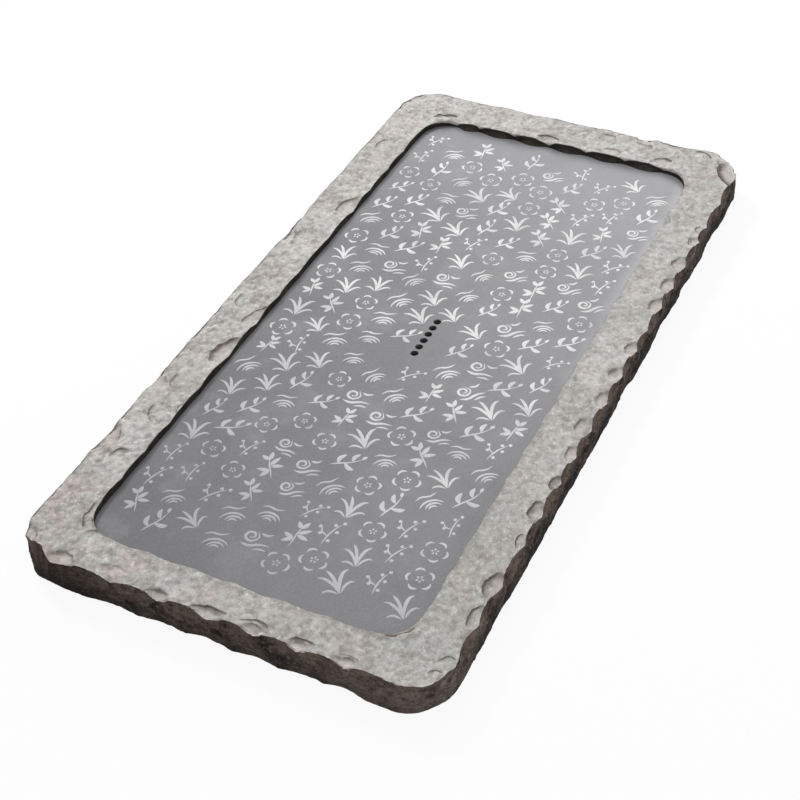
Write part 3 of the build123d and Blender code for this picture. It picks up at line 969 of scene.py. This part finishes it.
# hollow keeps how deep the pits and lumps go, for the painted shade in the border's hollows.
shaped = net.node("GeometryNodeStoreNamedAttribute", {"data_type": "FLOAT"}, sizes, True, "hollow",
                  (pits + lumps) / mm)
shaped = net.node("GeometryNodeSetPosition", {}, shaped, True, None, step)
zone_of = attribute(net, "zone", "INT")
for number, name in enumerate(finish_names):
    here = net.node("FunctionNodeCompare", {"data_type": "INT", "operation": "EQUAL"}, zone_of, number)
    shaped = net.node("GeometryNodeSetMaterial", {}, shaped, here, stone[name])
whole = net.node("GeometryNodeRealizeInstances", {}, shaped)
net.node("NodeGroupOutput", {}, whole)

slab = grown("tray_slab", skin, net.tree, dressing_sizes)
print("dressed slab:", [m.name for m in slab.data.materials], open_edges(slab.data), "open edges")

# %% [markdown]
# ## The drain's hollows
#
# Six holes, the sump with its rebate, the outlet's bore, the hose channel and the bores for the four
# inserts are cut from the dressed skin in one go, so their edges are as crisp as a drill leaves them. The
# rows of holes are grown by a tree that sets a rod on each point of a mesh; the pockets are blocks with
# rounded upright edges.

# %% Rods on points
rod_sizes = {"Diameter": 7.8 * mm, "Length": 14 * mm, "Sides": 48}
net, sizes = geometry_tree("rods_on_points", rod_sizes)
rod = net.node("GeometryNodeMeshCylinder", {}, Vertices=sizes.out("Sides"),
               Radius=sizes.out("Diameter") / 2, Depth=sizes.out("Length"))
rods = net.node("GeometryNodeInstanceOnPoints", {}, Points=sizes, Instance=rod)
set_out(net, rods, stone["sawn_stone"])
rod_tree = net.tree


def points_mesh(places):
    """A mesh of loose points, for a tree to set things on."""
    return plain_mesh("points", places, [])


def rods_at(name, places, diameter, length):
    """A mesh of upright rods, one at each place."""
    return grown(name, points_mesh(places), rod_tree, {"Diameter": diameter, "Length": length})


hole_x, hole_y, hole_pitch, hole_count = -5 * mm, -5 * mm, 10.3 * mm, 6
hole_places = [(hole_x + (i - (hole_count - 1) / 2) * hole_pitch, hole_y, deck_level - 4 * mm)
               for i in range(hole_count)]
holes = rods_at("holes", hole_places, 7.8 * mm, 14 * mm)
screw_places = [(x * mm, y * mm) for x in (-44, 34) for y in (-32.5, 22.5)]
insert_places = [(x, y, 10.8 * mm) for x, y in screw_places]
bores = rods_at("bores", insert_places, 5.97 * mm, 8 * mm)
print(len(hole_places), "holes and", len(insert_places), "insert bores")

# %% [markdown]
# The pockets reach a little below the underside, so that the cut is clean. All hollows are joined into
# one cutter, whose faces carry the sawn finish, and the cutter is taken from the slab.

# %% Pockets and the cut
def pocket(name, length, width, radius, low, high, place):
    """A block with rounded upright edges, or plain ones where the radius is 0."""
    steps = 12
    outline = []
    for turn, (sx, sy) in enumerate(((1, 1), (-1, 1), (-1, -1), (1, -1))):
        for i in range(steps + 1):
            angle = (turn + i / steps) * math.pi / 2
            outline.append((place[0] + sx * (length / 2 - radius) + radius * math.cos(angle),
                            place[1] + sy * (width / 2 - radius) + radius * math.sin(angle)))
    if radius == 0:
        outline = outline[::steps + 1]
    size = len(outline)
    points = [(x, y, low) for x, y in outline] + [(x, y, high) for x, y in outline]
    faces = [tuple(reversed(range(size))), tuple(range(size, 2 * size))]
    mesh = plain_mesh(name, points, faces + quad_ring(0, size, size))
    mesh.materials.append(stone["sawn_stone"])
    return linked(name, mesh)


sump_length, sump_width, lap_width = 104 * mm, 44 * mm, 11 * mm
rebate_top, sump_roof, channel_roof = 7.8 * mm, 18.4 * mm, 18.8 * mm
channel_width, channel_length, channel_middle = 13 * mm, 180 * mm, 123 * mm
outlet_size, outlet_length, outlet_middle = 8.2 * mm, 24 * mm, (hole_x, 25 * mm, 12.3 * mm)
below = underside - 4 * mm
under_holes = (hole_x, hole_y)
drain_cut = pocket("sump", sump_length, sump_width, 8 * mm, below, sump_roof, under_holes)
rebate_cut = pocket("rebate", sump_length + 2 * lap_width, sump_width + 2 * lap_width, 19 * mm, below,
                    rebate_top, under_holes)
channel_cut = pocket("channel", channel_width, channel_length, 0, below, channel_roof,
                     (hole_x, channel_middle))
outlet_cut = rods_at("outlet", [(0, 0, 0)], outlet_size, outlet_length)
laid = Quaternion((1, 0, 0), math.pi / 2).to_matrix().to_4x4()
laid.translation = outlet_middle
outlet_cut.data.transform(laid)
for part in (rebate_cut, channel_cut, outlet_cut, holes, bores):
    cut_away(drain_cut, part, "UNION")
print("cutter has", open_edges(drain_cut.data), "open edges")
drain_cut.data.materials.clear()
for finish in stone.values():
    drain_cut.data.materials.append(finish)
for face in drain_cut.data.polygons:
    face.material_index = finish_names.index("sawn_stone")
cut_away(slab, drain_cut)
print("cut slab:", triangles(slab.data), "triangles,", open_edges(slab.data), "open edges,",
      [finish.name for finish in slab.data.materials])

# %% [markdown]
# The stone is shaded smooth, but the honed floor and every other level face stay flat. The dressed slab
# then stands in for the plain one.

# %% Finish the slab
def shaded(carrier, angle=38.0):
    """Smooth shading, broken where two faces meet at more than this angle."""
    carrier.data.shade_smooth()
    carrier.data.set_sharp_from_angle(angle=math.radians(angle))
    return carrier


shaded(slab)
level_from = 0.9999
flat_finish = [finish.name for finish in slab.data.materials].index("honed_floor")
for face in slab.data.polygons:
    if face.material_index == flat_finish or abs(face.normal.z) > level_from:
        face.use_smooth = False
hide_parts("stone_slab")
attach(slab, "root")
low, high = slab.bound_box[0], slab.bound_box[6]
print("slab piece in mm:", [round((b - a) / mm, 2) for a, b in zip(low, high)])

# %% [markdown]
# ## The engraved ground
#
# The floor of such a basin is often engraved and the lines left white. The lines here are garden motifs:
# bamboo, blossom, cloud, grass, a leafy twig, ripples and berries. Each is a few strokes of the brush
# kind, thick in the middle and thin at its ends. A stroke is a thin closed body, half sunk in the floor,
# so that it stands a tenth of a millimetre proud as the filled line does. A texture could paint them, but
# would blur near by.

# %% Strokes
def smooth_line(points, count):
    """Evenly counted points on a smooth line through a few given ones."""
    points = [Vector(p) for p in points]
    padded = [points[0] * 2 - points[1]] + points + [points[-1] * 2 - points[-2]]
    line = []
    for i in range(count):
        spot = i / (count - 1) * (len(points) - 1)
        k = min(int(spot), len(points) - 2)
        t = spot - k
        a, b, c, d = padded[k:k + 4]
        line.append(0.5 * ((b * 2) + (c - a) * t + (a * 2 - b * 5 + c * 4 - d) * t * t
                           + (b * 3 - a - c * 3 + d) * t ** 3))
    return line


def stroke_body(line, width, swell=0.35, proud=0.12):
    """Points and faces of one stroke along a line; swell is where it is widest. Lengths in mm."""
    points = [(*line[0], 0.0)]
    for i in range(1, len(line) - 1):
        share = i / (len(line) - 1)
        rise = share / swell if share < swell else (1 - share) / (1 - swell)
        pressed = tip_share + (1 - tip_share) * math.sin(min(rise, 1) * math.pi / 2)
        half = brush_width * width / 2 * pressed
        along = (line[i + 1] - line[i - 1]).normalized()
        left = Vector((-along.y, along.x)) * half
        centre = line[i]
        points += [(*(centre + left), 0.0), (*centre, proud), (*(centre - left), 0.0), (*centre, -proud)]
    points.append((*line[-1], 0.0))
    return points, tube(len(line) - 2, 4)


def motif(name, strokes):
    """A motif from strokes of (line, width, swell), drawn in mm round its middle."""
    points = []
    faces = []
    for line, width, swell in strokes:
        # A straight stroke needs few points along it, and the curl many.
        count = {2: 5, 9: 18}.get(len(line), 8)
        more_points, more_faces = stroke_body(smooth_line(line, count), width, swell)
        faces += [tuple(len(points) + k for k in face) for face in more_faces]
        points += more_points
    mesh = plain_mesh(name, [tuple(c * mm for c in point) for point in points], faces)
    outwards = bmesh.new()
    outwards.from_mesh(mesh)
    bmesh.ops.recalc_face_normals(outwards, faces=outwards.faces)
    outwards.to_mesh(mesh)
    outwards.free()
    return bpy.data.objects.new(name, mesh)


def spoke(angle, start, end, centre=(0, 0)):
    """Two points on a ray at an angle in degrees from a centre."""
    way = Vector((math.cos(math.radians(angle)), math.sin(math.radians(angle))))
    return [Vector(centre) + way * start, Vector(centre) + way * end]


def arc(radius, start, end, centre=(0, 0), count=5):
    """Points on an arc between two angles in degrees."""
    angles = [start + (end - start) * i / (count - 1) for i in range(count)]
    return [spoke(angle, 0, radius, centre)[1] for angle in angles]


def spiral(turns, radius, start, centre=(0, 0), count=7):
    """Points on a curl that opens to a radius."""
    shares = [i / (count - 1) for i in range(count)]
    radii = [radius * (tip_share + (1 - tip_share) * share) for share in shares]
    return [spoke(start + turns * 360 * s, 0, r, centre)[1] for s, r in zip(shares, radii)]


tip_share, brush_width = 0.22, 1.25
print("strokes", brush_width, "times as wide as written")

# %% [markdown]
# Each motif is a list of strokes: the points a stroke runs through, in millimetres, its width, and how
# far along it is widest. Leaves, petals and berries repeat one stroke at several angles.

# %% Motifs
def spokes(rays, start, width, widest):
    """A straight stroke for each (angle, centre, reach)."""
    return [(spoke(angle, start, reach, centre), width, widest) for angle, centre, reach in rays]


bamboo = [([(-3, -17), (-1, -6), (0, 3), (3, 13)], 1.4, 0.5)]
bamboo += spokes(((150, (-1, -5), 14), (205, (-1, -4), 13), (30, (0, 2), 15), (-20, (0, 1), 14),
                  (120, (2, 9), 11), (60, (2, 9), 12)), 0.5, 4.0, 0.4)
blossom = [(arc(5.6, angle - 66, angle + 66, spoke(angle, 0, 7.8)[1]), 2.2, 0.5)
           for angle in range(18, 378, 72)]
blossom += spokes([(angle, (0, 0), 4.4) for angle in range(54, 414, 72)], 1.2, 1.6, 0.7)
cloud = [(spiral(1.6, 9.0, 200, (-5, 3), 9), 2.4, 0.6),
         ([(-15, -6), (-6, -10), (5, -8), (16, -10)], 2.8, 0.4),
         ([(4, 7), (10, 4), (17, 6)], 2.4, 0.4), ([(-2, -15), (6, -14), (13, -16)], 2.0, 0.5)]
grass = [([(0, -15), (-3, -4), (-10, 6), (-17, 9)], 2.6, 0.45),
         ([(0, -15), (-1, 0), (-4, 11), (-7, 16)], 2.8, 0.45),
         ([(0, -15), (3, 0), (8, 10), (14, 13)], 3.0, 0.45),
         ([(1, -15), (6, -7), (12, -3), (17, -4)], 2.4, 0.4),
         ([(-1, -15), (-7, -10), (-12, -9), (-16, -11)], 2.2, 0.4)]
twig = [([(-16, -9), (-6, -4), (5, 1), (16, 10)], 1.7, 0.3), ([(-8, -5), (-9, 3), (-4, 10)], 4.2, 0.5),
        ([(-2, -2), (5, -8), (11, -9)], 4.2, 0.5), ([(5, 2), (5, 9), (9, 15)], 3.8, 0.5),
        ([(13, 8), (17, 14)], 3.0, 0.5)]
ripples = [(arc(16, 28, 152, (0, -14), 6), 2.2, 0.5), (arc(10.5, 26, 154, (1, -13), 5), 2.1, 0.5),
           (arc(5.6, 25, 155, (0, -12), 5), 2.0, 0.5), ([(-14, 7), (-6, 10), (3, 8), (13, 11)], 2.0, 0.5)]
berries = [([(-13, -13), (-5, -3), (3, 4), (12, 9)], 1.5, 0.4), ([(-5, -3), (-9, 4), (-8, 10)], 1.5, 0.4)]
berry_places = ((30, (12, 8)), (100, (-9, 9)), (-40, (3, 1)), (-70, (-6, -7)), (60, (4, 7)), (160, (-9, 2)))
berries += spokes([(angle, centre, 4.6) for angle, centre in berry_places], 0, 3.4, 0.5)
motif_shapes = {"bamboo": bamboo, "blossom": blossom, "cloud": cloud, "grass": grass, "twig": twig,
                "ripples": ripples, "berries": berries}
motif_box = bpy.data.collections.new("motifs")
for name, strokes in motif_shapes.items():
    motif_box.objects.link(motif(name, strokes))

# %% [markdown]
# The motifs are set out by rule: staggered rows over the floor, each motif turned, sized and shifted a
# little by chance, with a fixed seed so that every run gives the same ground. Points over the drain holes
# are dropped.

# %% White lines
def white_lines(net):
    """The filled lines: chalk white, thin in places, with painted light that leaves them greyer towards the
    near back corner.
    """
    place = object_place(net)
    rubbed = noise(net, place, 24 * mm, 3.0)
    worn = noise(net, place, 1.5 * mm, 4.0, 0.7)
    x, y = axes(net, place)[:2]
    # Painted light: the lines are lighter towards the far front end and greyer towards the near back corner.
    away = x * 0.9 - y * 0.75
    colour = layered(net, (168, 168, 171), (away.rise(-0.36, 0.02), (214, 214, 214)),
                     (rubbed.rise(0.56, 0.40) * 0.35, (156, 156, 160)),
                     (worn.rise(0.46, 0.30) * 0.55, (150, 150, 154)))
    return net.node("ShaderNodeBsdfPrincipled", {}, Base_Color=colour, Roughness=0.8)


engraving = material("white_lines", white_lines)
ground_sizes = {"Pitch along": 32.5 * mm, "Pitch across": 29.5 * mm, "Places along": 20, "Places across": 10,
                "Shift": 1.8 * mm, "Turn": 0.5, "Smallest": 0.76, "Largest": 0.92, "Clear of holes": 40 * mm,
                "Seed": 7}
net, sizes = geometry_tree("engraved_ground", ground_sizes)


def chance(low, high, salt, kind="FLOAT"):
    """A random value for each point, from the tree's seed and a salt of its own."""
    return net.node("FunctionNodeRandomValue", {"data_type": kind}, low, high, Seed=sizes.out("Seed") + salt)


across_count = sizes.out("Places across")
along_size = (sizes.out("Places along") - 1) * sizes.out("Pitch along")
across_size = (across_count - 1) * sizes.out("Pitch across")
grid = net.node("GeometryNodeMeshGrid", {}, along_size, across_size, sizes.out("Places along"), across_count)
index = net.node("GeometryNodeInputIndex", {})
row_parity = index.math("MODULO", across_count).math("MODULO", 2.0)
stagger = (row_parity - 0.5) * sizes.out("Pitch along") * 0.5
shift = sizes.out("Shift")
offset = net.node("ShaderNodeCombineXYZ", {}, stagger + chance(-1.0, 1.0, 1) * shift,
                  chance(-1.0, 1.0, 2) * shift, 0.0)
spots = net.node("GeometryNodeSetPosition", {}, grid, True, None, offset)
x, y = axes(net, net.node("GeometryNodeInputPosition", {}))[:2]
clear_middle = hole_x - 3 * mm
over_holes = (x - clear_middle).math("ABSOLUTE") < sizes.out("Clear of holes")
over_holes = over_holes * ((y - hole_y).math("ABSOLUTE") < sizes.out("Clear of holes") * 0.5)
spots = net.node("GeometryNodeDeleteGeometry", {}, spots, over_holes)
motifs = net.node("GeometryNodeCollectionInfo", {}, motif_box, True, True)
turned = net.node("ShaderNodeCombineXYZ", {}, 0.0, 0.0, chance(-1.0, 1.0, 3) * sizes.out("Turn") - 1.1)
size = chance(sizes.out("Smallest"), sizes.out("Largest"), 4)
size = net.node("ShaderNodeCombineXYZ", {}, size, size, 1.0)
chosen = chance(0, len(motif_shapes) - 1, 5, "INT")
ground = net.node("GeometryNodeInstanceOnPoints", {}, spots, True, motifs, True, chosen,
                  net.node("FunctionNodeEulerToRotation", {}, turned), size)
set_out(net, ground, engraving)

lines = grown("engraved_lines", points_mesh([(0, 0, 0)]), net.tree, ground_sizes)
for name in motif_shapes:
    bpy.data.objects.remove(bpy.data.objects[name])
bpy.data.collections.remove(motif_box)
for vertex in lines.data.vertices:
    vertex.co += Vector((basin_middle, 0, deck_level))
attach(lines, "root")
print("engraved lines:", triangles(lines.data), "triangles,", open_edges(lines.data), "open edges")

# %% [markdown]
# ## Screws under the tray
#
# The plate under the drain is held by four small pan head screws with a cross recess. One screw is turned
# from a profile, its recess is cut, and a tree sets it on four points. It stands in for the plain solid
# screws at the same places and sizes.

# %% One pan head screw
def turned_profile(name, profile, sides=40):
    """A body turned round Z from (radius, level) points that start and end on the axis."""
    points = [(0, 0, profile[0][1])]
    for radius, level in profile[1:-1]:
        points += [(radius * math.cos(a), radius * math.sin(a), level)
                   for a in (2 * math.pi * i / sides for i in range(sides))]
    points.append((0, 0, profile[-1][1]))
    return linked(name, plain_mesh(name, points, tube(len(profile) - 2, sides)))


def recess_bar(turned):
    """One bar of the cross recess, narrower at its floor."""
    points = []
    for level, half_long, half_wide in ((-0.5 * mm, 1.7 * mm, 0.50 * mm), (1.1 * mm, 1.0 * mm, 0.28 * mm)):
        for sx, sy in ((-1, -1), (1, -1), (1, 1), (-1, 1)):
            x, y = sx * half_long, sy * half_wide
            points.append((-y, x, level) if turned else (x, y, level))
    faces = [(3, 2, 1, 0), (4, 5, 6, 7)] + quad_ring(0, 4, 4)
    return linked("recess", plain_mesh("recess", points, faces))


head_low, screw_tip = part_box("cover_screws")
screw_reach = (screw_tip - head_low).z
head_profile = [(0, 0), (1.5, 0.0), (2.2, 0.14), (2.7, 0.45), (2.95, 0.9), (3.0, 1.5), (2.95, 2.0),
                (1.5, 2.0), (1.5, 9.2), (1.1, 10.0), (0, 10.0)]
pan_head = turned_profile("pan_head", [(r * mm, z * mm * screw_reach / (10 * mm)) for r, z in head_profile])
cut_away(pan_head, cut_away(recess_bar(False), recess_bar(True), "UNION"))


def screw_steel(net):
    """Bright stainless steel, with faint turning marks."""
    place = object_place(net)
    marks = noise(net, place, 0.25 * mm, 2.0)
    colour = layered(net, (176, 176, 178), (marks.rise(0.35, 0.65), (202, 202, 204)))
    return surface(net, colour, 0.24 + marks * 0.12, marks, 0.2, 0.03 * mm, Metallic=1.0)


screw_finish = material("screw_steel", screw_steel)
screw_sizes = {"Turn": 0.6, "Seed": 3}
net, sizes = geometry_tree("screws_on_points", screw_sizes)
one_screw = net.node("GeometryNodeObjectInfo", {}, pan_head).out("Geometry")
spin = net.node("FunctionNodeRandomValue", {"data_type": "FLOAT"}, 0.0, sizes.out("Turn"),
                Seed=sizes.out("Seed"))
spin = net.node("ShaderNodeCombineXYZ", {}, 0.0, 0.0, spin)
four_screws = net.node("GeometryNodeInstanceOnPoints", {}, sizes, True, one_screw, False, None,
                       net.node("FunctionNodeEulerToRotation", {}, spin))
set_out(net, four_screws, screw_finish)
head_places = [(x, y, head_low.z) for x, y in screw_places]
screws = grown("pan_head_screws", points_mesh(head_places), net.tree, screw_sizes)
bpy.data.objects.remove(pan_head)
shaded(screws, 32)
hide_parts("cover_screws")
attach(screws, "root")
print("screws:", triangles(screws.data), "triangles,", open_edges(screws.data), "open edges")

# %% [markdown]
# ## Finishes of the small solids
#
# The plate, gasket, inserts, outlet and pads have their true shapes already, so they stay as they are and
# only get a finish: brushed steel with its grain along the plate, milky silicone, turned brass, and black
# rubber.

# %% Metals and rubbers
def brushed_steel(net):
    """Stainless sheet brushed along the plate."""
    stretched = net.node("ShaderNodeMapping", {}, object_place(net), Scale=(0.03, 1.0, 1.0))
    grain = noise(net, stretched, 0.3 * mm, 3.0, 0.7)
    smears = noise(net, object_place(net), 18 * mm, 3.0)
    colour = layered(net, (158, 159, 162), (grain.rise(0.3, 0.7), (190, 191, 194)))
    return surface(net, colour, 0.26 + grain * 0.12 + smears * 0.10, grain, 0.25, 0.02 * mm, Metallic=1.0)


def turned_brass(net):
    """Brass as it leaves the lathe, a little dulled."""
    place = object_place(net)
    dulled = noise(net, place, 4 * mm, 3.0)
    marks = noise(net, place, 0.2 * mm, 2.0)
    colour = layered(net, (196, 158, 88), (dulled.rise(0.35, 0.65), (168, 130, 66)))
    return surface(net, colour, 0.25 + dulled * 0.2, marks, 0.25, 0.02 * mm, Metallic=1.0)


def milky_silicone(net):
    """Silicone rubber, milky grey, with a satin skin."""
    place = object_place(net)
    cloudy = noise(net, place, 3 * mm, 3.0)
    colour = layered(net, (186, 188, 188), (cloudy.rise(0.3, 0.7), (206, 207, 206)))
    return surface(net, colour, 0.5, cloudy, 0.2, 0.05 * mm)


def foot_rubber(net):
    """Black rubber sheet with a fine pebbled face and a little dust."""
    place = object_place(net)
    pebbles = net.node("ShaderNodeTexVoronoi", {}, Vector=place, Scale=1 / (1.1 * mm))
    rubber_dust_or_floor_reflection = noise(net, place, 7 * mm, 4.0)
    colour = layered(net, (34, 34, 35), (rubber_dust_or_floor_reflection.rise(0.5, 0.7) * 0.5, (72, 70, 67)))
    return surface(net, colour, 0.78, 1 - pebbles, 0.5, 0.12 * mm)


small_finishes = {
    "sump_cover": material("brushed_steel", brushed_steel),
    "cover_gasket": material("milky_silicone", milky_silicone),
    "hose_spigot": material("turned_brass", turned_brass),
    "feet": material("foot_rubber", foot_rubber),
}
small_finishes["cover_inserts"] = small_finishes["hose_spigot"]
for name, node in frame["nodes"].items():
    finish = small_finishes.get("feet" if name.startswith("foot_") else name)
    if finish:
        node.data.materials.clear()
        node.data.materials.append(finish)
print("finished:", sorted(name for name in frame["nodes"] if name not in ("stone_slab", "cover_screws")))
